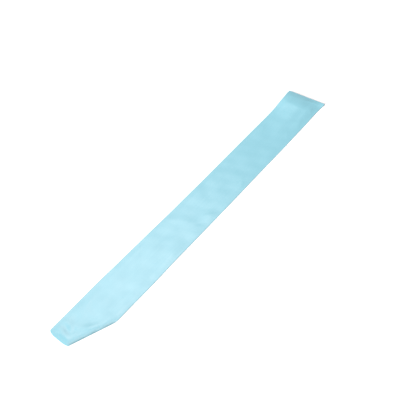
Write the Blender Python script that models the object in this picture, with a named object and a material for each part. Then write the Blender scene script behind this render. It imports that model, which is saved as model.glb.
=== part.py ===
"""Satin sash laid flat: a front and a back panel, seamed together at the hip and on the shoulder.

X runs along the sash from the hip end to the shoulder end, Y across it towards the outer long edge,
and Z up from the surface it lies on. Every layer is a wall of cloth between two height fields.
"""
import collections
import math

import bpy
import numpy as np

# Cloth, in metres
CLOTH = 0.001
LAYER_GAP = 0.0003
SASH_WIDTH = 0.095

# Cut of both panels, measured from the outer corner of the hip end
OUTER_LENGTH = 0.8655
INNER_REACH = 0.8850
TIP_WIDTH = 0.054
SLANT_REACH = 0.1055
TIP_BULGE = 0.0032
TIP_BULGE_FADE = 0.05
TIP_CORNER_RADIUS = 0.004
SLANT_CORNER_SOFTNESS = 0.0022
SHOULDER_SLANT_START = 0.70

# Worked out from the cut: where the slanted side starts, its fall for each metre along, and its stretch
TIP_INNER = SASH_WIDTH / 2 - TIP_WIDTH
SLANT_FALL = (TIP_INNER + SASH_WIDTH / 2) / SLANT_REACH
SLANT_STRETCH = math.hypot(1.0, SLANT_FALL)

# Seams: the margin turned in between the panels
MARGIN_WIDTH = 0.009
MARGIN_RECESS = 0.0008
MARGIN_CLEAR = 0.016
MARGIN_EASE = 0.014
SEAM_SETTLE = 0.012
HIP_MARGIN_START = 0.012
HIP_MARGIN_END = 0.006
HIP_MARGIN_TIP_ROWS = 7
HIP_MARGIN_SLANT_ROWS = 16

# Back panel, which lifts off the surface at the shoulder seam
BACK_LIFT_OUTER = 0.003
BACK_LIFT_INNER = 0.002
BACK_LIFT_REACH = 0.015

# Soft rise and fall of the front panel where nothing else shapes it. Its long edges lie closer to the back
LIE_HEIGHT = 0.0005
LIE_WAVE = 0.23
LIE_TILT = 2.2
EDGE_SETTLE = 0.014
EDGE_REST = 0.40

NOSE_POWER = 1.85
RISE_LEAN = 0.7
SLOPE_STEP = 0.0005
COLUMNS = 12
MARGIN_COLUMNS = 2
SMOOTH_ANGLE = math.radians(40)

# Long edges: shift off the straight cut, positive outwards
EdgeShift = collections.namedtuple("EdgeShift", "along front_outer front_inner back_outer back_inner")
EDGE_SHIFTS = (
    EdgeShift(0.000, 0.0007, 0.0000, 0.0004, 0.0000),
    EdgeShift(0.060, 0.0008, 0.0000, 0.0004, 0.0000),
    EdgeShift(0.140, 0.0012, -0.0008, 0.0008, -0.0010),
    EdgeShift(0.220, -0.0002, -0.0001, -0.0006, -0.0001),
    EdgeShift(0.300, -0.0012, -0.0008, -0.0015, -0.0009),
    EdgeShift(0.400, -0.0027, -0.0003, -0.0030, -0.0005),
    EdgeShift(0.500, -0.0031, -0.0001, -0.0034, -0.0001),
    EdgeShift(0.600, -0.0027, -0.0005, -0.0031, -0.0007),
    EdgeShift(0.700, -0.0025, -0.0003, -0.0028, -0.0005),
    EdgeShift(0.780, -0.0027, -0.0011, -0.0029, -0.0012),
    EdgeShift(0.830, -0.0004, -0.0025, -0.0006, -0.0026),
    EdgeShift(0.862, 0.0022, -0.0016, 0.0020, -0.0018),
)

# Shoulder hollow: across runs from 0 at the outer edge to 1 at the inner one
Hollow = collections.namedtuple("Hollow", "across crest_height crest_inset rise_length lift_reach")
SHOULDER_HOLLOW = (
    Hollow(0.00, 0.0043, 0.036, 0.094, 0.070),
    Hollow(0.25, 0.0060, 0.042, 0.106, 0.075),
    Hollow(0.50, 0.0064, 0.046, 0.112, 0.075),
    Hollow(0.75, 0.0043, 0.044, 0.092, 0.050),
    Hollow(1.00, 0.0006, 0.034, 0.074, 0.018),
)

# Folds of the front panel: soft ridges, each centred at along and across (Y), running at heading from +X
Fold = collections.namedtuple("Fold", "along across heading_deg reach spread height")
FOLDS = (
    Fold(0.015, 0.019, 80.0, 0.024, 0.0075, 0.0006),
    Fold(0.037, 0.030, 104.0, 0.018, 0.0090, 0.0005),
    Fold(0.047, 0.001, -44.0, 0.026, 0.0070, 0.0005),
    Fold(0.066, -0.020, -32.0, 0.024, 0.0080, 0.0004),
    Fold(0.122, -0.032, 12.0, 0.022, 0.0090, 0.0003),
    Fold(0.160, 0.030, 70.0, 0.024, 0.0160, 0.0003),
    Fold(0.296, -0.032, 20.0, 0.034, 0.0110, 0.0003),
    Fold(0.386, 0.004, -62.0, 0.046, 0.0170, 0.0003),
    Fold(0.430, -0.030, -50.0, 0.022, 0.0120, 0.0005),
    Fold(0.520, 0.030, 15.0, 0.040, 0.0130, 0.0003),
    Fold(0.610, 0.012, -70.0, 0.034, 0.0220, 0.0005),
    Fold(0.690, -0.030, 8.0, 0.040, 0.0120, 0.0003),
    Fold(0.758, 0.010, 78.0, 0.036, 0.0180, 0.0004),
)

# Rows of points along the outer edge, stretch by stretch
Stretch = collections.namedtuple("Stretch", "start end step")
FRONT_STRETCHES = (
    Stretch(0.010, 0.140, 0.0055),
    Stretch(0.140, 0.700, 0.0120),
    Stretch(0.700, 0.830, 0.0065),
)
BACK_STRETCHES = (
    Stretch(0.010, 0.110, 0.0100),
    Stretch(0.110, 0.790, 0.0320),
    Stretch(0.790, 0.830, 0.0130),
)
TIP_STATIONS = (0.0, 0.0005, 0.0015, 0.003, 0.005, 0.0075)
SHOULDER_INSETS = (0.0225, 0.0185, 0.0145, 0.0115, MARGIN_RECESS + MARGIN_WIDTH, 0.0065, 0.0035,
                   MARGIN_RECESS, 0.0)

SATIN_COLOUR = (0.46, 0.80, 0.90, 1.0)
SATIN_ROUGHNESS = 0.36


def smooth_step(value):
    """0 below 0, 1 above 1, and an even S between."""
    held = np.clip(value, 0.0, 1.0)
    return held * held * (3.0 - 2.0 * held)


def smooth_curve(value, rows, key, name):
    """A named column of a table, read between its rows on an eased curve."""
    keys = np.array([getattr(row, key) for row in rows])
    found = np.array([getattr(row, name) for row in rows])
    place = np.clip(np.searchsorted(keys, value, side="right") - 1, 0, len(keys) - 2)
    part = (value - keys[place]) / (keys[place + 1] - keys[place])
    return found[place] + (found[place + 1] - found[place]) * smooth_step(part)


def edge_shift(x, name):
    return smooth_curve(x, EDGE_SHIFTS, "along", name)


def slant_line(x):
    """Y of the slanted hip seam's line."""
    return TIP_INNER - SLANT_FALL * x


def outer_edge(x, layer):
    """Y of a panel's outer long edge, with the hip end's rounded corner."""
    straight = SASH_WIDTH / 2 + edge_shift(x, layer + "_outer")
    into_corner = np.clip(TIP_CORNER_RADIUS - x, 0.0, TIP_CORNER_RADIUS)
    arc = np.sqrt(TIP_CORNER_RADIUS ** 2 - into_corner ** 2)
    return straight - TIP_CORNER_RADIUS + arc


def inner_edge(x, layer):
    """Y of a panel's inner edge: the slanted seam, then the long edge, eased together."""
    straight = -SASH_WIDTH / 2 - edge_shift(x, layer + "_inner")
    slant = slant_line(x)
    spread = np.sqrt((slant - straight) ** 2 + SLANT_CORNER_SOFTNESS ** 2)
    return (slant + straight + spread) / 2


def across_share(x, y):
    """0 at the outer edge, 1 at the inner one."""
    outer = outer_edge(np.maximum(x, 0.0), "front")
    inner = inner_edge(np.maximum(x, 0.0), "front")
    return np.clip((outer - y) / (outer - inner), 0.0, 1.0)


def tip_bulge(along, share):
    """How far the short tip swells out past its corners, fading along the sash."""
    left = np.clip(1.0 - along / TIP_BULGE_FADE, 0.0, 1.0)
    return TIP_BULGE * (1.0 - (2.0 * share - 1.0) ** 4) * left ** 2


def plan_point(along, share, layer):
    """Where a point of a panel's cut lies on the surface."""
    outer = outer_edge(along, layer)
    inner = inner_edge(along, layer)
    y = outer + (inner - outer) * share
    turn = smooth_step((along - SHOULDER_SLANT_START) / (OUTER_LENGTH - SHOULDER_SLANT_START))
    x = along - tip_bulge(along, share) + (INNER_REACH - OUTER_LENGTH) * share * turn
    return x, y


def shoulder_inset(x, y):
    """Distance in from the shoulder seam."""
    return OUTER_LENGTH + (INNER_REACH - OUTER_LENGTH) * across_share(x, y) - x


def hip_inset(x, y):
    """Distance in from the hip seam: the short tip or the slanted side, whichever is nearer."""
    from_slant = (y - slant_line(x)) / SLANT_STRETCH
    return np.minimum(x, from_slant)


def edge_inset(x, y):
    """Distance in from the nearer long edge."""
    along = np.maximum(x, 0.0)
    return np.minimum(outer_edge(along, "front") - y, y - inner_edge(along, "front"))


def lifted(x, y, reach):
    """The rise to the shoulder seam, over the reach before it."""
    lift = BACK_LIFT_OUTER + (BACK_LIFT_INNER - BACK_LIFT_OUTER) * across_share(x, y)
    return lift * smooth_step(1.0 - shoulder_inset(x, y) / reach)


def back_under(x, y):
    """Height of the back panel's underside: flat, then up to the shoulder seam."""
    return lifted(x, y, BACK_LIFT_REACH)


def over(under, x, y):
    """Height of a wall's upper side, one cloth thickness above its underside, square to the slope."""
    slope_x = (under(x + SLOPE_STEP, y) - under(x - SLOPE_STEP, y)) / (2 * SLOPE_STEP)
    slope_y = (under(x, y + SLOPE_STEP) - under(x, y - SLOPE_STEP)) / (2 * SLOPE_STEP)
    return under(x, y) + CLOTH * np.sqrt(1.0 + slope_x ** 2 + slope_y ** 2)


def margin_under(x, y):
    """The turned-in margin lies on the back panel."""
    return over(back_under, x, y) + LAYER_GAP


def shoulder_hollow(x, y):
    """How far the shoulder end stands open: a long rise to a crest, then a round nose down to the seam.

    The front panel also comes up to the seam over a longer reach than the back panel under it.
    """
    share = across_share(x, y)
    inset = shoulder_inset(x, y)
    height = smooth_curve(share, SHOULDER_HOLLOW, "across", "crest_height")
    crest = smooth_curve(share, SHOULDER_HOLLOW, "across", "crest_inset")
    rise = smooth_curve(share, SHOULDER_HOLLOW, "across", "rise_length")
    nose = 1.0 - np.clip(1.0 - inset / crest, 0.0, 1.0) ** NOSE_POWER
    slope = 1.0 - smooth_step(np.clip((inset - crest) / rise, 0.0, 1.0) ** RISE_LEAN)
    reach = smooth_curve(share, SHOULDER_HOLLOW, "across", "lift_reach")
    return height * np.where(inset < crest, nose, slope) + lifted(x, y, reach) - back_under(x, y)


def folds(x, y):
    """The panel's own folds, as soft ridges, with a slow rise and fall under them."""
    total = LIE_HEIGHT * (1.0 + np.sin(2 * math.pi * x / LIE_WAVE + LIE_TILT * y / SASH_WIDTH)) / 2
    for fold in FOLDS:
        heading = math.radians(fold.heading_deg)
        along_fold = (x - fold.along) * math.cos(heading) + (y - fold.across) * math.sin(heading)
        over_fold = (y - fold.across) * math.cos(heading) - (x - fold.along) * math.sin(heading)
        total = total + fold.height * np.exp(-(along_fold / fold.reach) ** 2 - (over_fold / fold.spread) ** 2)
    return total


def front_under(x, y):
    """Height of the front panel's underside over the back panel, the seam margins and its own folds."""
    seam = np.minimum(hip_inset(x, y), shoulder_inset(x, y))
    margin = (CLOTH + LAYER_GAP) * (1.0 - smooth_step((seam - MARGIN_CLEAR) / MARGIN_EASE))
    free = smooth_step(seam / SEAM_SETTLE)
    free = free * (EDGE_REST + (1.0 - EDGE_REST) * smooth_step(edge_inset(x, y) / EDGE_SETTLE))
    return over(back_under, x, y) + LAYER_GAP + margin + shoulder_hollow(x, y) + folds(x, y) * free


def stations(stretches):
    """Distances along the outer edge at which a panel has a row of points."""
    found = list(TIP_STATIONS)
    for stretch in stretches:
        found += list(np.arange(stretch.start, stretch.end - stretch.step / 2, stretch.step))
    found.append(stretches[-1].end)
    found += [OUTER_LENGTH - inset for inset in SHOULDER_INSETS]
    return np.array(found)


def wall(name, x, y, under):
    """A closed wall of cloth over a grid of plan points."""
    lower = np.stack([x, y, under(x, y)], axis=-1)
    upper = np.stack([x, y, over(under, x, y)], axis=-1)
    return name, lower, upper


def panel(name, layer, stretches, under):
    along, share = np.meshgrid(stations(stretches), np.linspace(0.0, 1.0, COLUMNS + 1), indexing="ij")
    x, y = plan_point(along, share, layer)
    return wall(name, x, y, under)


def shoulder_margin():
    """The shoulder seam's margin, in step with the rows of both panels."""
    insets = [inset for inset in SHOULDER_INSETS if MARGIN_RECESS <= inset <= MARGIN_RECESS + MARGIN_WIDTH]
    side = MARGIN_RECESS / SASH_WIDTH
    shares = np.linspace(0.0, 1.0, COLUMNS + 1)
    shares[0] += side
    shares[-1] -= side
    along, share = np.meshgrid(OUTER_LENGTH - np.array(insets), shares, indexing="ij")
    x, y = plan_point(along, share, "back")
    return wall("shoulder_seam_allowance", x, y, margin_under)


def hip_margin():
    """The hip seam's margin: a band along the short tip, round its corner and along the slanted side."""
    mitre = SLANT_STRETCH - SLANT_FALL
    bands = []
    for inset in np.linspace(MARGIN_RECESS + MARGIN_WIDTH, MARGIN_RECESS, MARGIN_COLUMNS + 1):
        corner_y = TIP_INNER + inset * mitre
        tip_y = np.linspace(SASH_WIDTH / 2 - HIP_MARGIN_START, corner_y, HIP_MARGIN_TIP_ROWS)
        tip_x = inset - tip_bulge(inset, across_share(np.zeros_like(tip_y), tip_y))
        line_x = np.linspace(tip_x[-1], SLANT_REACH - HIP_MARGIN_END, HIP_MARGIN_SLANT_ROWS)[1:]
        line_y = slant_line(line_x) + inset * SLANT_STRETCH
        bands.append((np.concatenate([tip_x, line_x]), np.concatenate([tip_y, line_y])))
    x = np.stack([band[0] for band in bands], axis=-1)
    y = np.stack([band[1] for band in bands], axis=-1)
    return wall("hip_seam_allowance", x, y, margin_under)


def satin():
    material = bpy.data.materials.new("light_blue_satin")
    material.use_nodes = True
    shader = material.node_tree.nodes["Principled BSDF"]
    shader.inputs["Base Color"].default_value = SATIN_COLOUR
    shader.inputs["Roughness"].default_value = SATIN_ROUGHNESS
    shader.inputs["Metallic"].default_value = 0.0
    return material


def grid_faces(rows, columns, first):
    """Quads of a grid of points, counted from the first point's number."""
    found = []
    for row in range(rows - 1):
        for column in range(columns - 1):
            corner = first + row * columns + column
            found.append((corner, corner + columns, corner + columns + 1, corner + 1))
    return found


def make_cloth(name, lower, upper, centre, material):
    """Turns the two sides of a wall into one closed mesh object."""
    rows, columns = lower.shape[:2]
    count = rows * columns
    points = np.concatenate([lower.reshape(-1, 3), upper.reshape(-1, 3)]) - centre
    faces = grid_faces(rows, columns, 0)
    faces += [face[::-1] for face in grid_faces(rows, columns, count)]
    rim = [column for column in range(columns)]
    rim += [row * columns + columns - 1 for row in range(1, rows)]
    rim += [(rows - 1) * columns + column for column in range(columns - 2, -1, -1)]
    rim += [row * columns for row in range(rows - 2, 0, -1)]
    for here, after in zip(rim, rim[1:] + rim[:1]):
        faces.append((here, after, after + count, here + count))
    mesh = bpy.data.meshes.new(name)
    mesh.from_pydata([tuple(point) for point in points], [], faces)
    mesh.validate()
    mesh.materials.append(material)
    mesh.shade_smooth()
    mesh.set_sharp_from_angle(angle=SMOOTH_ANGLE)
    cloth = bpy.data.objects.new(name, mesh)
    bpy.context.scene.collection.objects.link(cloth)
    return cloth


def main():
    for old in list(bpy.data.objects):
        bpy.data.objects.remove(old, do_unlink=True)
    walls = [
        panel("front_panel", "front", FRONT_STRETCHES, front_under),
        panel("back_panel", "back", BACK_STRETCHES, back_under),
        hip_margin(),
        shoulder_margin(),
    ]
    every = np.concatenate([side.reshape(-1, 3) for _, *sides in walls for side in sides])
    centre = (every.min(axis=0) + every.max(axis=0)) / 2
    centre[2] = 0.0
    material = satin()
    for name, lower, upper in walls:
        make_cloth(name, lower, upper, centre, material)


main()
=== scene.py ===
"""Looks of the satin sash: thin satin panels on the solids' forms, their seams, light and camera."""
import collections
import math

import bpy
import numpy as np
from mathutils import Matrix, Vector


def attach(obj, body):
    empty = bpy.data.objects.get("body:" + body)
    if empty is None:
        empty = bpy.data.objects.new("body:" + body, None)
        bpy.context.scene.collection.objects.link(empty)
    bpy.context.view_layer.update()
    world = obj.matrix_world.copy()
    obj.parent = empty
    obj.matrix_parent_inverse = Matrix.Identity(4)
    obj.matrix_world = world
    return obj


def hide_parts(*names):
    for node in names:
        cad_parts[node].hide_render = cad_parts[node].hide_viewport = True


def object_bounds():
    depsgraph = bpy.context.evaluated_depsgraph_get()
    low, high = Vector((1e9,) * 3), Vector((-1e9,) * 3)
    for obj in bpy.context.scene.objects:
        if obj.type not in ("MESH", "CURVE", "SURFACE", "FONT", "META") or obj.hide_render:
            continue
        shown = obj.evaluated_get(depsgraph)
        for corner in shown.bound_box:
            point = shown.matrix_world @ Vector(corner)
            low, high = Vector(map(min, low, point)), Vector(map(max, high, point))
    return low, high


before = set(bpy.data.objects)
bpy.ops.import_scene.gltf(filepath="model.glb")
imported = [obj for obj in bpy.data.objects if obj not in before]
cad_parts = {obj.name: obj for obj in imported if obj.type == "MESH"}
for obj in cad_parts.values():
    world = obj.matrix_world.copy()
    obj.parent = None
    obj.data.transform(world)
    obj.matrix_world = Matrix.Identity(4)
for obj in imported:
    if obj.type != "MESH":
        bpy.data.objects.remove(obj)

cad_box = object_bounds()

# Cloth and thread, in metres
SATIN = 0.00025
LAYER_GAP = 0.00008
THREAD_RADIUS = 0.00012
THREAD_SIDES = 6
STITCH_LENGTH = 0.0024
STITCH_STEPS = 8
STITCH_SWING = 0.00022

# Cut of both panels, from the outer corner of the hip end, as the solids have it
SASH_WIDTH = 0.095
OUTER_LENGTH = 0.8655
INNER_REACH = 0.8850
TIP_WIDTH = 0.054
SLANT_REACH = 0.1055
TIP_BULGE = 0.0032
TIP_BULGE_FADE = 0.05
TIP_BULGE_POWER = 4
TIP_CORNER_RADIUS = 0.004
SLANT_CORNER_SOFTNESS = 0.0022
SHOULDER_SLANT_START = 0.70
TIP_INNER = SASH_WIDTH / 2 - TIP_WIDTH
SLANT_FALL = (TIP_INNER + SASH_WIDTH / 2) / SLANT_REACH
SLANT_STRETCH = math.hypot(1.0, SLANT_FALL)

# Seams: both margins turned in between the panels, and the round edge over them
MARGIN_CLEAR = 0.011
MARGIN_EASE = 0.020
MARGIN_ROOM = 2 * SATIN + 2 * LAYER_GAP
SEAM_PARTING = 0.0001
SEAM_CORNER_SOFTNESS = 0.0006
SEAM_LINE_INSET = 0.003
SEAM_SETTLE = 0.012
EDGE_SETTLE = 0.014
EDGE_REST = 0.40
FRONT_NOSE = 0.0021
BACK_NOSE = 0.0006
BACK_ROLL = 0.00035

# Puckers that the stitches draw in beside both seams: two waves, one over the other
Pucker = collections.namedtuple("Pucker", "wave share turn")
PUCKERS = (
    Pucker(0.0083, 1.0, 0.0),
    Pucker(0.0131, 0.7, 1.1),
)
PUCKER_HEIGHT = 0.00022
PUCKER_REACH = 0.010
PUCKER_CLEAR = 0.0022
PUCKER_MEAN = 0.6
PUCKER_SWING = 0.4

# Painted shade along the slanted seam: the cloth's colour is darker in a narrow uneven line along it,
# standing in for the shade of the thick seam edge
SEAM_SHADE_WIDTH = 0.0046
SEAM_SHADE_END = 0.098
SEAM_SHADE_FADE = 0.008

# Back panel, which lifts off the surface at the shoulder seam
BACK_LIFT_OUTER = 0.003
BACK_LIFT_INNER = 0.002
BACK_LIFT_REACH = 0.015

# Air under the front panel where nothing else shapes it
LIE_LIFT = 0.0002
LIE_HEIGHT = 0.0005
LIE_WAVE = 0.23
LIE_TILT = 2.2
NOSE_POWER = 1.85
RISE_LEAN = 0.7
TROUGH_SOFTNESS = 0.0003
ROOM_SOFTNESS = 0.0003

# Woven edges: firm narrow bands, thicker than the satin. The inner one starts at the slanted seam's end
WOVEN_EDGE = 0.0011
WOVEN_EDGE_SWELL = 0.25
WOVEN_EDGE_SWELL_MIDDLE = 0.5
WOVEN_EDGE_SWELL_FALL = 1.3
WOVEN_EDGE_TAPER = 0.5
WOVEN_EDGE_START = 0.008
FAR_FROM_EDGE = 1.0

# Long edges: shift off the straight cut, positive outwards
EdgeShift = collections.namedtuple("EdgeShift", "along front_outer front_inner back_outer back_inner")
EDGE_SHIFTS = (
    EdgeShift(0.000, 0.0007, 0.0000, 0.0004, 0.0000),
    EdgeShift(0.060, 0.0008, 0.0000, 0.0004, 0.0000),
    EdgeShift(0.140, 0.0012, -0.0008, 0.0008, -0.0010),
    EdgeShift(0.220, -0.0002, -0.0001, -0.0006, -0.0001),
    EdgeShift(0.300, -0.0012, -0.0008, -0.0015, -0.0009),
    EdgeShift(0.400, -0.0027, -0.0003, -0.0030, -0.0005),
    EdgeShift(0.500, -0.0031, -0.0001, -0.0034, -0.0001),
    EdgeShift(0.600, -0.0027, -0.0005, -0.0031, -0.0007),
    EdgeShift(0.700, -0.0025, -0.0003, -0.0028, -0.0005),
    EdgeShift(0.780, -0.0027, -0.0011, -0.0029, -0.0012),
    EdgeShift(0.830, -0.0004, -0.0025, -0.0006, -0.0026),
    EdgeShift(0.862, 0.0022, -0.0016, 0.0020, -0.0018),
)

# Shoulder hollow: across runs from 0 at the outer edge to 1 at the inner one
Hollow = collections.namedtuple("Hollow", "across crest_height crest_inset rise_length lift_reach")
SHOULDER_HOLLOW = (
    Hollow(0.00, 0.0043, 0.036, 0.094, 0.070),
    Hollow(0.25, 0.0060, 0.042, 0.106, 0.075),
    Hollow(0.50, 0.0064, 0.046, 0.112, 0.075),
    Hollow(0.75, 0.0043, 0.044, 0.092, 0.050),
    Hollow(1.00, 0.0006, 0.034, 0.074, 0.018),
)

# Creases: soft ridges, or troughs where the height is below 0, centred at along and across (Y), running at
# heading from +X for about reach each way, with flanks of about spread, bent sideways by bend of reach
Crease = collections.namedtuple("Crease", "along across heading_deg reach spread height bend")
FRONT_FOLDS = (
    Crease(0.015, 0.019, 80.0, 0.024, 0.0075, 0.0006, 0.0),
    Crease(0.037, 0.030, 104.0, 0.018, 0.0090, 0.0005, 0.0),
    Crease(0.047, 0.001, -44.0, 0.026, 0.0070, 0.0005, 0.0),
    Crease(0.066, -0.020, -32.0, 0.024, 0.0080, 0.0004, 0.0),
    Crease(0.122, -0.032, 12.0, 0.022, 0.0090, 0.0003, 0.0),
    Crease(0.160, 0.030, 70.0, 0.024, 0.0160, 0.0003, 0.0),
    Crease(0.296, -0.032, 20.0, 0.034, 0.0110, 0.0003, 0.0),
    Crease(0.386, 0.004, -62.0, 0.046, 0.0170, 0.0003, 0.0),
    Crease(0.430, -0.030, -50.0, 0.022, 0.0120, 0.0005, 0.0),
    Crease(0.520, 0.030, 15.0, 0.040, 0.0130, 0.0003, 0.0),
    Crease(0.610, 0.012, -70.0, 0.034, 0.0220, 0.0005, 0.0),
    Crease(0.690, -0.030, 8.0, 0.040, 0.0120, 0.0003, 0.0),
    Crease(0.758, 0.010, 78.0, 0.036, 0.0180, 0.0004, 0.0),
)
FRONT_CREASES = (
    Crease(0.009, 0.035, 112.0, 0.009, 0.0046, -0.00045, 0.1),
    Crease(0.024, 0.022, 66.0, 0.010, 0.0064, -0.00060, -0.1),
    Crease(0.034, 0.011, 40.0, 0.008, 0.0044, -0.00045, 0.0),
    Crease(0.055, 0.026, 18.0, 0.016, 0.0085, -0.00045, 0.2),
    Crease(0.040, -0.013, -24.0, 0.019, 0.0028, 0.00026, -0.1),
    Crease(0.052, -0.022, -21.0, 0.022, 0.0024, 0.00024, 0.1),
    Crease(0.078, -0.029, -23.0, 0.018, 0.0028, 0.00028, 0.1),
    Crease(0.030, 0.001, -28.0, 0.014, 0.0026, 0.00022, 0.0),
    Crease(0.083, 0.008, 58.0, 0.014, 0.0060, 0.00016, 0.2),
    Crease(0.104, 0.030, 24.0, 0.017, 0.0044, 0.00016, -0.2),
    Crease(0.118, -0.016, -34.0, 0.016, 0.0056, 0.00016, 0.2),
    Crease(0.196, -0.030, 30.0, 0.015, 0.0050, 0.00018, -0.1),
    Crease(0.232, 0.014, -55.0, 0.028, 0.0100, 0.00010, 0.1),
    Crease(0.262, 0.032, 20.0, 0.014, 0.0046, 0.00018, 0.2),
    Crease(0.372, 0.032, -52.0, 0.013, 0.0064, 0.00016, 0.1),
    Crease(0.397, -0.016, -64.0, 0.028, 0.0080, 0.00010, 0.1),
    Crease(0.406, -0.029, -40.0, 0.013, 0.0060, -0.00050, 0.1),
    Crease(0.442, -0.034, -34.0, 0.014, 0.0048, 0.00026, 0.0),
    Crease(0.470, 0.020, 62.0, 0.022, 0.0090, 0.00010, -0.2),
    Crease(0.556, -0.032, 26.0, 0.014, 0.0046, 0.00018, 0.1),
    Crease(0.585, 0.032, -22.0, 0.016, 0.0050, 0.00018, 0.1),
    Crease(0.648, 0.004, 66.0, 0.024, 0.0110, 0.00010, -0.1),
    Crease(0.684, 0.022, -80.0, 0.018, 0.0110, -0.00030, 0.1),
    Crease(0.728, 0.032, -28.0, 0.018, 0.0054, 0.00018, -0.1),
    Crease(0.742, -0.030, 24.0, 0.016, 0.0050, 0.00018, 0.2),
    Crease(0.792, -0.032, 14.0, 0.018, 0.0044, 0.00022, 0.1),
    Crease(0.806, 0.032, -10.0, 0.020, 0.0050, 0.00022, 0.0),
    Crease(0.838, -0.034, 40.0, 0.015, 0.0036, 0.00030, -0.2),
)
SEAM_CREASES = (
    Crease(0.054, -0.0225, -21.0, 0.008, 0.0030, 0.00022, 0.0),
    Crease(0.866, -0.018, -74.0, 0.017, 0.0024, 0.00022, 0.1),
    Crease(0.872, -0.030, -78.0, 0.014, 0.0022, 0.00018, -0.1),
    Crease(0.861, -0.008, -72.0, 0.015, 0.0026, 0.00020, 0.1),
    Crease(0.852, 0.026, -76.0, 0.015, 0.0028, 0.00018, 0.1),
)
BACK_CREASES = (
    Crease(0.030, 0.012, 62.0, 0.020, 0.0065, 0.00035, 0.1),
    Crease(0.058, -0.012, -30.0, 0.026, 0.0050, 0.00030, 0.1),
    Crease(0.094, 0.028, 24.0, 0.020, 0.0060, 0.00022, -0.1),
    Crease(0.178, -0.028, 34.0, 0.022, 0.0080, 0.00026, 0.1),
    Crease(0.270, 0.024, -52.0, 0.030, 0.0110, 0.00014, 0.2),
    Crease(0.345, -0.006, 58.0, 0.040, 0.0150, 0.00010, -0.1),
    Crease(0.452, -0.030, -28.0, 0.020, 0.0075, 0.00014, 0.1),
    Crease(0.548, 0.026, 36.0, 0.024, 0.0090, 0.00014, 0.1),
    Crease(0.640, -0.012, -66.0, 0.034, 0.0140, 0.00014, 0.1),
    Crease(0.722, 0.030, 20.0, 0.024, 0.0065, 0.00024, -0.2),
    Crease(0.790, -0.024, -40.0, 0.024, 0.0080, 0.00028, 0.1),
)

# Slow unevenness of cloth that was laid down by hand
Ripple = collections.namedtuple("Ripple", "wave_along wave_across turn height")
RIPPLES = (
    Ripple(0.091, 0.240, 0.6, 0.00010),
    Ripple(0.057, -0.110, 2.1, 0.00008),
    Ripple(0.034, 0.073, 4.4, 0.00005),
    Ripple(-0.127, 0.048, 1.3, 0.00007),
)

# Rows of points along the outer edge, stretch by stretch, and columns close to the long edges
Stretch = collections.namedtuple("Stretch", "start end step")
FRONT_STRETCHES = (
    Stretch(0.006, 0.120, 0.0012),
    Stretch(0.120, 0.780, 0.0024),
    Stretch(0.780, 0.854, 0.0012),
)
BACK_STRETCHES = (
    Stretch(0.006, 0.120, 0.0024),
    Stretch(0.120, 0.800, 0.0046),
    Stretch(0.800, 0.854, 0.0024),
)
END_STEPS = (0.0, 0.00002, 0.00008, 0.00018, 0.00032, 0.0005, 0.00075, 0.0011, 0.0017, 0.0026, 0.0040)
EDGE_STEPS = (0.0, 0.00002, 0.00008, 0.00018, 0.00032, 0.0005, 0.00075, 0.0011, 0.0017, 0.0027)
FRONT_MIDDLE_COLUMNS = 50
BACK_MIDDLE_COLUMNS = 28
SHARP_ANGLE = math.radians(50)

# Points of the turned-in margins: rows inwards from each seam, and how far from each seam's ends they stop
MARGIN_INSETS = (0.0009, 0.0013, 0.0024, 0.0045, 0.0070, 0.0092, 0.0098)
MARGIN_STEP = 0.0025
SHOULDER_MARGIN_END = 0.0010
TIP_MARGIN_END = 0.012
TIP_MARGIN_POINTS = 15
SLANT_MARGIN_END = 0.006
SLANT_MARGIN_POINTS = 42

# Where the hip end's outer corner, the start of the cut, lies in the frame
low, high = cad_box
START = np.array([low.x + TIP_BULGE, high.y - SASH_WIDTH / 2 - EDGE_SHIFTS[-1].front_outer, 0.0])


def smooth_step(value):
    """0 below 0, 1 above 1, and an even S between."""
    held = np.clip(value, 0.0, 1.0)
    return held * held * (3.0 - 2.0 * held)


def smooth_curve(value, rows, key, name):
    """A named column of a table, read between its rows on an eased curve."""
    keys = np.array([getattr(row, key) for row in rows])
    found = np.array([getattr(row, name) for row in rows])
    place = np.clip(np.searchsorted(keys, value, side="right") - 1, 0, len(keys) - 2)
    part = (value - keys[place]) / (keys[place + 1] - keys[place])
    return found[place] + (found[place + 1] - found[place]) * smooth_step(part)


def smooth_less(one, other, softness):
    """The lesser of two, eased where they are alike."""
    return (one + other - np.sqrt((one - other) ** 2 + softness ** 2)) / 2


def slant_line(along):
    """Y of the slanted hip seam's line."""
    return TIP_INNER - SLANT_FALL * along


def outer_edge(along, layer):
    """Y of a panel's outer long edge, with the hip end's rounded corner."""
    straight = SASH_WIDTH / 2 + smooth_curve(along, EDGE_SHIFTS, "along", layer + "_outer")
    into_corner = np.clip(TIP_CORNER_RADIUS - along, 0.0, TIP_CORNER_RADIUS)
    return straight - TIP_CORNER_RADIUS + np.sqrt(TIP_CORNER_RADIUS ** 2 - into_corner ** 2)


def inner_edge(along, layer):
    """Y of a panel's inner edge: the slanted seam, then the long edge, eased together."""
    straight = -SASH_WIDTH / 2 - smooth_curve(along, EDGE_SHIFTS, "along", layer + "_inner")
    slant = slant_line(along)
    spread = np.sqrt((slant - straight) ** 2 + SLANT_CORNER_SOFTNESS ** 2)
    return (slant + straight + spread) / 2


def tip_bulge(along, share):
    """How far the short tip swells out past its corners, fading along the sash."""
    left = np.clip(1.0 - along / TIP_BULGE_FADE, 0.0, 1.0)
    return TIP_BULGE * (1.0 - (2.0 * share - 1.0) ** TIP_BULGE_POWER) * left ** 2


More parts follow.
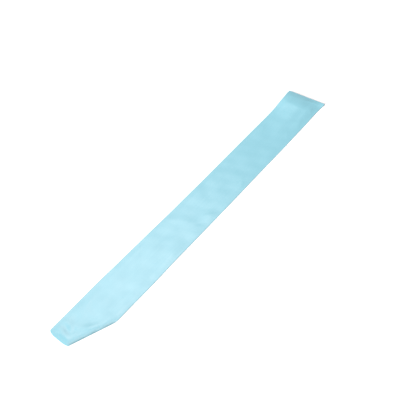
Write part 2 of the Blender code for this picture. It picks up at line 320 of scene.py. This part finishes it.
class Cut:
    """Points of a panel's cut: distance along the outer edge, share across, and place on the surface."""

    def __init__(self, along, y):
        self.along, self.y = np.broadcast_arrays(along, y)
        outer = outer_edge(self.along, "front")
        inner = inner_edge(self.along, "front")
        self.share = np.clip((outer - self.y) / (outer - inner), 0.0, 1.0)
        turn = smooth_step((self.along - SHOULDER_SLANT_START) / (OUTER_LENGTH - SHOULDER_SLANT_START))
        slant = (INNER_REACH - OUTER_LENGTH) * self.share
        self.x = self.along - tip_bulge(self.along, self.share) + slant * turn
        self.to_shoulder = OUTER_LENGTH + slant - self.x
        from_slant = (self.y - slant_line(self.along)) / SLANT_STRETCH
        self.to_hip = np.maximum(smooth_less(self.along, from_slant, SEAM_CORNER_SOFTNESS), 0.0)
        self.to_seam = np.minimum(self.to_hip, self.to_shoulder)
        self.to_edge = np.minimum(outer - self.y, self.y - inner)


def nose(distance, reach):
    """A quarter round: 0 at the seam, 1 from reach inwards."""
    return np.sqrt(1.0 - (1.0 - np.clip(distance / reach, 0.0, 1.0)) ** 2)


def freedom(cut):
    """How freely a panel creases: not at its seams, and little at its long edges."""
    long_edge = EDGE_REST + (1.0 - EDGE_REST) * smooth_step(cut.to_edge / EDGE_SETTLE)
    return smooth_step(cut.to_seam / SEAM_SETTLE) * long_edge


def creases(cut, table):
    """Height of the soft ridges and troughs in a table."""
    total = np.zeros_like(cut.x)
    for crease in table:
        heading = math.radians(crease.heading_deg)
        along = (cut.x - crease.along) * math.cos(heading) + (cut.y - crease.across) * math.sin(heading)
        over = (cut.y - crease.across) * math.cos(heading) - (cut.x - crease.along) * math.sin(heading)
        over = over - crease.bend * along * np.abs(along) / crease.reach
        total = total + crease.height * np.exp(-(along / crease.reach) ** 2 - (over / crease.spread) ** 2)
    return total


def ripples(cut):
    """Slow unevenness of the cloth."""
    total = np.zeros_like(cut.x)
    for ripple in RIPPLES:
        waves = cut.x / ripple.wave_along + cut.y / ripple.wave_across
        total = total + ripple.height * (1.0 + np.sin(2 * math.pi * waves + ripple.turn))
    return total


def puckers(cut):
    """Small uneven waves that the stitches draw into the cloth beside a seam."""
    round_hip = cut.x - cut.y
    waves = np.where(cut.to_hip < cut.to_shoulder, round_hip, cut.y)
    turns = 2 * math.pi * waves
    drawn = sum(pucker.share * np.sin(turns / pucker.wave + pucker.turn) for pucker in PUCKERS)
    near = smooth_step(cut.to_seam / PUCKER_CLEAR) * np.exp(-(cut.to_seam / PUCKER_REACH) ** 2)
    return PUCKER_HEIGHT * near * (PUCKER_MEAN + PUCKER_SWING * drawn)


def lifted(cut, reach):
    """The rise to the shoulder seam, over the reach before it."""
    lift = BACK_LIFT_OUTER + (BACK_LIFT_INNER - BACK_LIFT_OUTER) * cut.share
    return lift * smooth_step(1.0 - cut.to_shoulder / reach)


def back_middle(cut):
    """Height of the back panel's middle: flat, up to the shoulder seam, and rolled up at both seams."""
    rolled = BACK_ROLL * (1.0 - nose(cut.to_seam, BACK_NOSE))
    own = creases(cut, BACK_CREASES) * freedom(cut)
    return SATIN * (1.0 + WOVEN_EDGE_SWELL) / 2 + lifted(cut, BACK_LIFT_REACH) + rolled + own


def shoulder_hollow(cut):
    """How far the shoulder end stands open: a long rise to a crest, then a round nose down to the seam.

    The front panel also comes up to the seam over a longer reach than the back panel under it.
    """
    height = smooth_curve(cut.share, SHOULDER_HOLLOW, "across", "crest_height")
    crest = smooth_curve(cut.share, SHOULDER_HOLLOW, "across", "crest_inset")
    rise = smooth_curve(cut.share, SHOULDER_HOLLOW, "across", "rise_length")
    down = 1.0 - np.clip(1.0 - cut.to_shoulder / crest, 0.0, 1.0) ** NOSE_POWER
    up = 1.0 - smooth_step(np.clip((cut.to_shoulder - crest) / rise, 0.0, 1.0) ** RISE_LEAN)
    reach = smooth_curve(cut.share, SHOULDER_HOLLOW, "across", "lift_reach")
    own_lift = lifted(cut, reach) - lifted(cut, BACK_LIFT_REACH)
    return height * np.where(cut.to_shoulder < crest, down, up) + own_lift


def margin_room(cut):
    """Room that the turned-in margins take between the panels. At the hip it ends before the long edges."""
    room = MARGIN_ROOM * (1.0 - smooth_step((cut.to_seam - MARGIN_CLEAR) / MARGIN_EASE))
    to_slant_corner = np.hypot(np.maximum(SLANT_REACH - cut.along, 0.0), cut.y + SASH_WIDTH / 2)
    to_long_edge = np.minimum(outer_edge(cut.along, "front") - cut.y, to_slant_corner)
    return room * np.where(cut.to_hip < cut.to_shoulder, smooth_step(to_long_edge / EDGE_SETTLE), 1.0)


def front_middle(cut):
    """Height of the front panel's middle over the back panel, the margins, and its own folds."""
    lie = LIE_HEIGHT * (1.0 + np.sin(2 * math.pi * cut.x / LIE_WAVE + LIE_TILT * cut.y / SASH_WIDTH)) / 2
    own = LIE_LIFT + lie + creases(cut, FRONT_FOLDS) + creases(cut, FRONT_CREASES) + ripples(cut)
    own = -smooth_less(-own, 0.0, TROUGH_SOFTNESS)
    at_seam = nose(cut.to_seam, FRONT_NOSE)
    raised = -smooth_less(-margin_room(cut) * at_seam, -shoulder_hollow(cut), ROOM_SOFTNESS)
    layers = SEAM_PARTING + (SATIN + LAYER_GAP - SEAM_PARTING) * at_seam + raised
    drawn = puckers(cut) + creases(cut, SEAM_CREASES) * at_seam
    return back_middle(cut) + layers + own * freedom(cut) + drawn


def stations(stretches):
    """Distances along the outer edge at which a panel has a row of points."""
    found = list(END_STEPS)
    for stretch in stretches:
        found += list(np.arange(stretch.start, stretch.end - stretch.step / 2, stretch.step))
    found.append(stretches[-1].end)
    found += [OUTER_LENGTH - step for step in END_STEPS[::-1]]
    return np.array(found)[:, None]


def panel_cut(stretches, middle_columns, layer):
    """The cut of a panel, with columns of points crowded at its long edges and rows at its ends."""
    along = stations(stretches)
    outer, inner = outer_edge(along, layer), inner_edge(along, layer)
    steps = np.array(EDGE_STEPS)
    shares = np.linspace(0.0, 1.0, middle_columns + 2)[1:-1]
    middle = outer - steps[-1] + (inner - outer + 2 * steps[-1]) * shares
    return Cut(along, np.concatenate([outer - steps, middle, inner + steps[::-1]], axis=1))


def grid_faces(rows, columns, first):
    """Quads of a grid of points, counted from the first point's number."""
    corner = first + np.arange(rows - 1)[:, None] * columns + np.arange(columns - 1)
    return np.stack([corner, corner + columns, corner + columns + 1, corner + 1], axis=-1).reshape(-1, 4)


def rim_faces(rows, columns, count):
    """Quads that join the two sides of a shell round its rim."""
    rim = list(range(columns))
    rim += [row * columns + columns - 1 for row in range(1, rows)]
    rim += [(rows - 1) * columns + column for column in range(columns - 2, -1, -1)]
    rim += [row * columns for row in range(rows - 2, 0, -1)]
    pairs = zip(rim, rim[1:] + rim[:1])
    return np.array([(here, after, after + count, here + count) for here, after in pairs])


def normals_of(points):
    """Directions square to a grid of points, upwards."""
    over = np.cross(np.gradient(points, axis=0), np.gradient(points, axis=1))
    return over * np.sign(over[..., 2:].sum()) / np.linalg.norm(over, axis=-1, keepdims=True)


def shell(name, cut, height, thickness, outside_up, satin, wrong_side, from_edge, painted_seam_shade=None):
    """A closed thin sheet of cloth over a cut, with its right side up or down."""
    points = np.stack([cut.x, cut.y, height], axis=-1) + START
    out = normals_of(points) * (thickness / 2)[..., None]
    rows, columns = cut.x.shape
    count = rows * columns
    lower = grid_faces(rows, columns, 0)
    upper = grid_faces(rows, columns, count)[:, ::-1]
    faces = np.concatenate([lower, upper, rim_faces(rows, columns, count)])
    mesh = bpy.data.meshes.new(name)
    sides = [(points - out).reshape(-1, 3), (points + out).reshape(-1, 3)]
    mesh.from_pydata(np.concatenate(sides), [], faces)
    right_side = np.arange(len(faces)) >= len(lower) if outside_up else np.arange(len(faces)) < len(lower)
    for material in (satin, wrong_side):
        mesh.materials.append(material)
    wrong = np.where(right_side, 0, 1)
    wrong[len(lower) + len(upper):] = 0
    mesh.polygons.foreach_set("material_index", wrong.astype(np.int32))
    corners = np.zeros(len(mesh.loops), dtype=np.int32)
    mesh.loops.foreach_get("vertex_index", corners)
    on_cloth = np.stack([cut.along, cut.y], axis=-1).reshape(-1, 2)
    places = np.concatenate([on_cloth, on_cloth])[corners]
    mesh.uv_layers.new(name=CLOTH_PLACES).data.foreach_set("uv", places.astype(np.float32).ravel())
    edge = mesh.attributes.new("from_edge", "FLOAT", "POINT")
    edge.data.foreach_set("value", np.tile(from_edge.ravel(), 2).astype(np.float32))
    # Painted shade along the slanted seam, point by point, which the material darkens the colour by
    seam_shade_unevenness = mesh.attributes.new("painted_seam_shade", "FLOAT", "POINT")
    if painted_seam_shade is not None:
        seam_shade_unevenness.data.foreach_set("value", np.tile(painted_seam_shade.ravel(), 2).astype(np.float32))
    mesh.shade_smooth()
    mesh.set_sharp_from_angle(angle=SHARP_ANGLE)
    piece = bpy.data.objects.new(name, mesh)
    bpy.context.scene.collection.objects.link(piece)
    return piece


def from_woven_edge(cut, layer):
    """Distance in from the long woven edges. The slanted seam is no woven edge."""
    from_outer = outer_edge(cut.along, layer) - cut.y
    from_inner = cut.y - inner_edge(cut.along, layer)
    seam = 1.0 - smooth_step((cut.along - SLANT_REACH + WOVEN_EDGE_START) / WOVEN_EDGE_START)
    return np.minimum(from_outer, from_inner + FAR_FROM_EDGE * seam)


def seam_shade_line(cut):
    """How much painted shade darkens the cloth: most at the slanted seam, and none at the tip and the long
    edges.
    """
    from_slant = (cut.y - slant_line(cut.along)) / SLANT_STRETCH
    near = np.exp(-(np.maximum(from_slant, 0.0) / SEAM_SHADE_WIDTH) ** 2)
    ends = smooth_step(cut.along / SEAM_SHADE_FADE) * (1.0 - smooth_step((cut.along - SEAM_SHADE_END) / SEAM_SHADE_FADE))
    return near * ends


def woven_thickness(from_edge):
    """Thickness of the satin, with a firmer woven edge that is round outside."""
    off_middle = np.abs(from_edge / WOVEN_EDGE - WOVEN_EDGE_SWELL_MIDDLE)
    swell = WOVEN_EDGE_SWELL * (1.0 - smooth_step(off_middle * WOVEN_EDGE_SWELL_FALL))
    taper = WOVEN_EDGE_TAPER * (1.0 - nose(from_edge, SATIN))
    return SATIN * (1.0 + swell - taper)


# Places on the cloth, as a mesh's UV map, and the Mix node's sockets that hold colours
CLOTH_PLACES = "cloth"
MIX_COLOURS_IN = (6, 7)
MIX_COLOUR_OUT = 2


def new_material(name):
    """A node material, its shader, its tree of nodes and a helper that adds and links nodes."""
    material = bpy.data.materials.new(name)
    material.use_nodes = True
    tree = material.node_tree

    def add(kind, inputs=None, **settings):
        node = tree.nodes.new("ShaderNode" + kind)
        for key, value in settings.items():
            setattr(node, key, value)
        for key, value in (inputs or {}).items():
            if isinstance(value, bpy.types.NodeSocket):
                tree.links.new(value, node.inputs[key])
            else:
                node.inputs[key].default_value = value
        return node

    return material, tree.nodes["Principled BSDF"], tree, add


def blend_colours(add, share, first, second):
    """Colour between two, by a share."""
    mix = add("Mix", {"Factor": share}, data_type="RGBA")
    colours = zip([mix.inputs[number] for number in MIX_COLOURS_IN], (first, second))
    for socket, colour in colours:
        if isinstance(colour, bpy.types.NodeSocket):
            mix.id_data.links.new(colour, socket)
        else:
            socket.default_value = (*colour, 1.0)
    return mix.outputs[MIX_COLOUR_OUT]


# Colours of the satin, linear
SATIN_BLUE = (0.222, 0.504, 0.592)
SATIN_DEEP = (0.206, 0.483, 0.573)
SATIN_EDGE = (0.222, 0.495, 0.578)
WRONG_SIDE_BLUE = (0.200, 0.460, 0.550)
THREAD_BLUE = (0.215, 0.460, 0.550)
# Painted shade: the darker colour of the line along the slanted seam
PAINTED_SEAM_SHADE_BLUE = (0.120, 0.290, 0.340)

# Finish of both sides of the satin. Its gloss is stretched, a quarter turn from the cloth's length
SATIN_ROUGHNESS = 0.40
SATIN_GLOSS = 0.55
WRONG_SIDE_ROUGHNESS = 0.62
WRONG_SIDE_GLOSS = 0.0
SATIN_FINISH = {
    "Anisotropic Rotation": 0.25,
    "Specular IOR Level": 1.0,
    "Sheen Weight": 0.25,
    "Sheen Roughness": 0.35,
    "Sheen Tint": (0.88, 0.97, 1.0, 1.0),
}
SMOOTHER = 0.03
ROUGHER = 0.04
EDGE_ROUGHNESS = 0.16

# The satin's uneven patterns: their scale along the cloth and across it
STREAKS = (5.0, 420.0)
MOTTLING = (26.0, 34.0)
SEAM_SHADE_BLOTCHES = (46.0, 46.0)
FINE_DETAIL = 3.0
SOFT_DETAIL = 2.0
UNEVEN_RANGE = (0.7, 1.3)
# Painted seam shade: the range of its blotches, its strongest share and its faintest part
BLOTCH_RANGE = (0.34, 0.60)
SEAM_SHADE_SHARE = 0.85
SEAM_SHADE_FAINTEST = 0.45

# Weave: metres from thread to thread, how threads wander, how softly the woven edge begins, and the relief
WARP_PITCH = 0.00014
WEFT_PITCH = 0.00026
EDGE_RIB_PITCH = 0.00042
WAVE_TEXTURE_PERIOD = math.pi / 10
WARP_WANDER = 0.6
WEFT_WANDER = 1.2
WEFT_BREAKS = 900.0
EDGE_FADE = 0.3
RIB_RELIEF = 2.0
WEAVE_STRENGTH = 0.30
WEAVE_DEPTH = 0.00003

# Sewing thread
TWIST_SCALE = 3200.0
TWIST_STRENGTH = 0.5
TWIST_DEPTH = 0.00004
THREAD_ROUGHNESS = 0.55


def cloth_places(add, along_scale, across_scale):
    """Places on the cloth, stretched along it and across it."""
    places = add("UVMap", uv_map=CLOTH_PLACES).outputs["UV"]
    return add("Mapping", {"Vector": places, "Scale": (along_scale, across_scale, 1.0)}).outputs[0]


def cloth_noise(add, scales, detail):
    """An uneven pattern on the cloth."""
    inputs = {"Vector": cloth_places(add, *scales), "Scale": 1.0, "Detail": detail}
    return add("TexNoise", inputs).outputs["Fac"]


def cloth_waves(add, direction, along_scale, across_scale, wander):
    """Threads or ribs side by side in a direction of the cloth."""
    inputs = {"Vector": cloth_places(add, along_scale, across_scale), "Scale": 1.0, "Distortion": wander}
    return add("TexWave", inputs, bands_direction=direction).outputs["Fac"]


def combine(add, operation, *values):
    """The result of one sum or product in a material."""
    return add("Math", dict(enumerate(values)), operation=operation).outputs[0]


def remap(add, value, low_in, high_in, low_out=0.0, high_out=1.0):
    """A value moved from one range to another."""
    ranges = {"From Min": low_in, "From Max": high_in, "To Min": low_out, "To Max": high_out}
    return add("MapRange", {"Value": value, **ranges}).outputs[0]


def satin_material(name, base, deep, edge, roughness, gloss):
    """Satin: long floats along the sash, faint warp streaks, slow mottling and a firmer woven edge."""
    material, shader, tree, add = new_material(name)
    streaks = cloth_noise(add, STREAKS, FINE_DETAIL)
    uneven = combine(add, "ADD", streaks, cloth_noise(add, MOTTLING, SOFT_DETAIL))
    from_edge = add("Attribute", attribute_name="from_edge").outputs["Fac"]
    at_edge = remap(add, from_edge, WOVEN_EDGE * (1.0 + EDGE_FADE), WOVEN_EDGE * (1.0 - EDGE_FADE))
    # Painted shade: the colour darkens unevenly towards a deeper blue along the slanted seam
    blotches = cloth_noise(add, SEAM_SHADE_BLOTCHES, SOFT_DETAIL)
    seam_shade_unevenness = remap(add, blotches, *BLOTCH_RANGE, SEAM_SHADE_SHARE * SEAM_SHADE_FAINTEST, SEAM_SHADE_SHARE)
    painted_seam_shade = combine(add, "MULTIPLY", add("Attribute", attribute_name="painted_seam_shade").outputs["Fac"], seam_shade_unevenness)
    cloth = blend_colours(add, remap(add, uneven, *UNEVEN_RANGE), base, deep)
    woven = blend_colours(add, at_edge, cloth, edge)
    tree.links.new(blend_colours(add, painted_seam_shade, woven, PAINTED_SEAM_SHADE_BLUE), shader.inputs["Base Color"])
    rough = remap(add, uneven, *UNEVEN_RANGE, roughness - SMOOTHER, roughness + ROUGHER)
    tree.links.new(combine(add, "MULTIPLY_ADD", at_edge, EDGE_ROUGHNESS, rough), shader.inputs["Roughness"])
    warp = cloth_waves(add, "Y", 1.0, WAVE_TEXTURE_PERIOD / WARP_PITCH, WARP_WANDER)
    weft = cloth_waves(add, "X", WAVE_TEXTURE_PERIOD / WEFT_PITCH, WEFT_BREAKS, WEFT_WANDER)
    ribs = cloth_waves(add, "X", WAVE_TEXTURE_PERIOD / EDGE_RIB_PITCH, 1.0, 0.0)
    weave = combine(add, "MULTIPLY", warp, weft)
    relief = combine(add, "MULTIPLY_ADD", combine(add, "MULTIPLY", ribs, at_edge), RIB_RELIEF, weave)
    bump = add("Bump", {"Strength": WEAVE_STRENGTH, "Distance": WEAVE_DEPTH, "Height": relief})
    tree.links.new(bump.outputs[0], shader.inputs["Normal"])
    tangent = add("Tangent", direction_type="UV_MAP", uv_map=CLOTH_PLACES)
    tree.links.new(tangent.outputs[0], shader.inputs["Tangent"])
    shader.inputs["Anisotropic"].default_value = gloss
    for socket, value in SATIN_FINISH.items():
        shader.inputs[socket].default_value = value
    return material


def thread_material():
    """Twisted polyester sewing thread."""
    material, shader, tree, add = new_material("sewing_thread")
    place = add("TexCoord").outputs["Object"]
    twist = add("TexNoise", {"Vector": place, "Scale": TWIST_SCALE, "Detail": SOFT_DETAIL}).outputs["Fac"]
    tree.links.new(blend_colours(add, twist, THREAD_BLUE, SATIN_EDGE), shader.inputs["Base Color"])
    bump = add("Bump", {"Strength": TWIST_STRENGTH, "Distance": TWIST_DEPTH, "Height": twist})
    tree.links.new(bump.outputs[0], shader.inputs["Normal"])
    shader.inputs["Roughness"].default_value = THREAD_ROUGHNESS
    return material


satin = satin_material("satin", SATIN_BLUE, SATIN_DEEP, SATIN_EDGE, SATIN_ROUGHNESS, SATIN_GLOSS)
wrong_side = satin_material("satin_wrong_side", WRONG_SIDE_BLUE, SATIN_DEEP, SATIN_EDGE,
                            WRONG_SIDE_ROUGHNESS, WRONG_SIDE_GLOSS)
thread = thread_material()


def finish_piece(piece, slot, *nodes):
    """A piece rides on the sash's one body and stands for its solids, which it hides. Its slot is not used.
    """
    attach(piece, "root")
    if nodes:
        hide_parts(*nodes)


def area_of(cut):
    """Flat area of a cut, from its grid of points."""
    flat = np.stack([cut.x, cut.y], axis=-1)
    one = flat[1:, 1:] - flat[:-1, :-1]
    other = flat[1:, :-1] - flat[:-1, 1:]
    return float(np.abs(one[..., 0] * other[..., 1] - one[..., 1] * other[..., 0]).sum() / 2)


def make_panels():
    """The front panel, right side up, on the back panel, right side down."""
    made = []
    for layer, stretches, columns, middle in (
            ("back", BACK_STRETCHES, BACK_MIDDLE_COLUMNS, back_middle),
            ("front", FRONT_STRETCHES, FRONT_MIDDLE_COLUMNS, front_middle)):
        cut = panel_cut(stretches, columns, layer)
        from_edge = from_woven_edge(cut, layer)
        thickness = woven_thickness(from_edge)
        # The front and back panels carry the painted seam shade
        piece = shell("satin_" + layer + "_panel", cut, middle(cut), thickness, layer == "front",
                      satin, wrong_side, from_edge, seam_shade_line(cut))
        finish_piece(piece, "satin", layer + "_panel")
        made.append((piece, area_of(cut)))
    return made


def margin_cuts():
    """The cuts of both seam margins, each a band of rows along its seam."""
    insets = np.array(MARGIN_INSETS)
    ends = np.arange(SHOULDER_MARGIN_END, SASH_WIDTH - SHOULDER_MARGIN_END, MARGIN_STEP)[:, None]
    shoulder = Cut(OUTER_LENGTH - insets[None, :], SASH_WIDTH / 2 - ends)
    mitre = SLANT_STRETCH - SLANT_FALL
    corner = TIP_INNER + insets * mitre
    tip_y = np.linspace(SASH_WIDTH / 2 - TIP_MARGIN_END, corner, TIP_MARGIN_POINTS)
    tip_along = np.broadcast_to(insets, tip_y.shape)
    slant_ends = np.full_like(insets, SLANT_REACH - SLANT_MARGIN_END)
    slant_along = np.linspace(insets, slant_ends, SLANT_MARGIN_POINTS)[1:]
    slant_y = slant_line(slant_along) + insets * SLANT_STRETCH
    hip = Cut(np.concatenate([tip_along, slant_along]), np.concatenate([tip_y, slant_y]))
    return {"hip": hip, "shoulder": shoulder}


def make_margins():
    """Each seam's two margins, turned in: one lies on the back panel, one on that."""
    made = {"back": [], "front": []}
    for seam, cut in margin_cuts().items():
        for number, side in enumerate(("back", "front")):
            height = back_middle(cut) + (SATIN + LAYER_GAP) * (number + 1)
            far = np.full(cut.x.shape, FAR_FROM_EDGE)
            piece = shell(seam + "_seam_margin_" + side, cut, height, np.full(cut.x.shape, SATIN),
                          side == "back", wrong_side, satin, far)
            finish_piece(piece, "satin_wrong_side", seam + "_seam_allowance")
            made[side].append(piece)
    return made


def tube(name, line, radius, sides, material):
    """A closed round thread along a line of points."""
    step = np.gradient(line, axis=0)
    step /= np.linalg.norm(step, axis=1, keepdims=True)
    side = np.cross(step, [0.0, 0.0, 1.0])
    side /= np.linalg.norm(side, axis=1, keepdims=True)
    up = np.cross(side, step)
    angles = np.linspace(0.0, 2 * math.pi, sides, endpoint=False)
    ring = np.cos(angles)[None, :, None] * side[:, None] + np.sin(angles)[None, :, None] * up[:, None]
    points = (line[:, None] + ring * radius).reshape(-1, 3)
    faces = []
    for row in range(len(line) - 1):
        for corner in range(sides):
            after = (corner + 1) % sides
            here = row * sides
            faces.append((here + corner, here + after, here + sides + after, here + sides + corner))
    faces.append(tuple(range(sides))[::-1])
    faces.append(tuple((len(line) - 1) * sides + corner for corner in range(sides)))
    mesh = bpy.data.meshes.new(name)
    mesh.from_pydata(points, [], faces)
    mesh.materials.append(material)
    mesh.shade_smooth()
    piece = bpy.data.objects.new(name, mesh)
    bpy.context.scene.collection.objects.link(piece)
    return piece


def seam_lines():
    """Where the two seams run, as places on the cut, from the outer edge inwards."""
    step = STITCH_LENGTH / STITCH_STEPS
    tip_y = np.arange(SASH_WIDTH / 2 - TIP_CORNER_RADIUS, TIP_INNER, -step)
    slant_along = np.arange(0.0, SLANT_REACH - SEAM_LINE_INSET, step)
    hip_along = np.concatenate([np.zeros_like(tip_y), slant_along])
    hip_y = np.concatenate([tip_y, slant_line(slant_along)])
    shoulder_y = np.arange(SASH_WIDTH / 2, -SASH_WIDTH / 2, -step)
    return {"hip": (hip_along, hip_y), "shoulder": (np.full_like(shoulder_y, OUTER_LENGTH), shoulder_y)}


def make_stitches():
    """A thread in each seam, which passes from panel to panel at every stitch."""
    made = {}
    for seam, (along, y) in seam_lines().items():
        cut = Cut(along, y)
        swing = np.sin(2 * math.pi * np.arange(len(along)) / STITCH_STEPS)
        height = back_middle(cut) + SEAM_PARTING / 2 + STITCH_SWING * swing
        line = np.stack([cut.x, cut.y, height], axis=-1) + START
        piece = tube(seam + "_seam_stitches", line, THREAD_RADIUS, THREAD_SIDES, thread)
        finish_piece(piece, "sewing_thread")
        made[seam] = piece
    return made


# Camera: direction of view and distance to the point that it looks at, from the outline's perspective
CAMERA_ELEVATION = math.radians(55.31)
CAMERA_HEADING = math.radians(39.13)
CAMERA_DISTANCE = 1.8672
CAMERA_AIM = Vector((0.0163, 0.0130, 0.0))
FOCAL_SHARE = 2.0040
SENSOR_WIDTH = 36.0
CLIP_START = 0.05


def make_camera():
    """The camera, upright, looking down on the sash from beyond its hip end, on the inner edge's side."""
    camera = bpy.data.objects.new("camera", bpy.data.cameras.new("camera"))
    level = Vector((math.cos(CAMERA_HEADING), math.sin(CAMERA_HEADING), 0.0))
    view = level * math.cos(CAMERA_ELEVATION) - Vector((0.0, 0.0, math.sin(CAMERA_ELEVATION)))
    camera.location = CAMERA_AIM - view * CAMERA_DISTANCE
    camera.rotation_euler = view.to_track_quat("-Z", "Y").to_euler()
    camera.data.sensor_width = SENSOR_WIDTH
    camera.data.lens = FOCAL_SHARE * SENSOR_WIDTH
    camera.data.clip_start = CLIP_START
    bpy.context.scene.collection.objects.link(camera)
    bpy.context.scene.camera = camera


# Floor: its side and how far it lies under the sash, in metres, and its finish
FLOOR_SIZE = 12.0
FLOOR_DROP = 0.0001
FLOOR_GRAIN = 900.0
FLOOR_DARK = (0.93, 0.93, 0.93)
FLOOR_LIGHT = (0.95, 0.95, 0.95)
FLOOR_ROUGHNESS = 0.9
FLOOR_SPECULAR = 0.1


def make_floor():
    """A plain pale floor under the sash."""
    material, shader, tree, add = new_material("pale_floor")
    place = add("TexCoord").outputs["Object"]
    grain = add("TexNoise", {"Vector": place, "Scale": FLOOR_GRAIN, "Detail": SOFT_DETAIL})
    tone = blend_colours(add, grain.outputs["Fac"], FLOOR_DARK, FLOOR_LIGHT)
    tree.links.new(tone, shader.inputs["Base Color"])
    shader.inputs["Roughness"].default_value = FLOOR_ROUGHNESS
    shader.inputs["Specular IOR Level"].default_value = FLOOR_SPECULAR
    mesh = bpy.data.meshes.new("floor")
    half = FLOOR_SIZE / 2
    corners = [(-half, -half, -FLOOR_DROP), (half, -half, -FLOOR_DROP), (half, half, -FLOOR_DROP),
               (-half, half, -FLOOR_DROP)]
    mesh.from_pydata(corners, [], [(0, 1, 2, 3)])
    mesh.materials.append(material)
    floor = bpy.data.objects.new("floor", mesh)
    bpy.context.scene.collection.objects.link(floor)


# Softboxes: where each stands, what it points at, its side in metres, its power in watts and its colour
Softbox = collections.namedtuple("Softbox", "name place aim side power colour")
SOFTBOXES = (
    Softbox("key", (0.36, 0.58, 2.06), (0.0, 0.0, 0.0), 1.3, 30.3, (1.0, 0.87, 0.86)),
    Softbox("fill", (-10.85, 1.60, 5.20), (0.0, 0.0, 0.0), 4.0, 1790.0, (0.98, 1.0, 1.0)),
)
ROOM_LIGHT = (0.96, 0.99, 1.0)
ROOM_STRENGTH = 0.42


def make_lights():
    """A soft key light over the sash, a large fill far off beyond the hip end, and an even pale room."""
    for box in SOFTBOXES:
        light = bpy.data.objects.new(box.name, bpy.data.lights.new(box.name, "AREA"))
        light.data.shape = "SQUARE"
        light.data.size = box.side
        light.data.energy = box.power
        light.data.color = box.colour
        light.location = box.place
        light.rotation_euler = (Vector(box.aim) - Vector(box.place)).to_track_quat("-Z", "Y").to_euler()
        bpy.context.scene.collection.objects.link(light)
    world = bpy.data.worlds.new("room")
    world.use_nodes = True
    background = world.node_tree.nodes["Background"]
    background.inputs["Color"].default_value = (*ROOM_LIGHT, 1.0)
    background.inputs["Strength"].default_value = ROOM_STRENGTH
    bpy.context.scene.world = world
    bpy.context.scene.view_settings.view_transform = "Standard"


make_camera()
make_floor()
make_lights()
panels = make_panels()
margins = make_margins()
stitches = make_stitches()
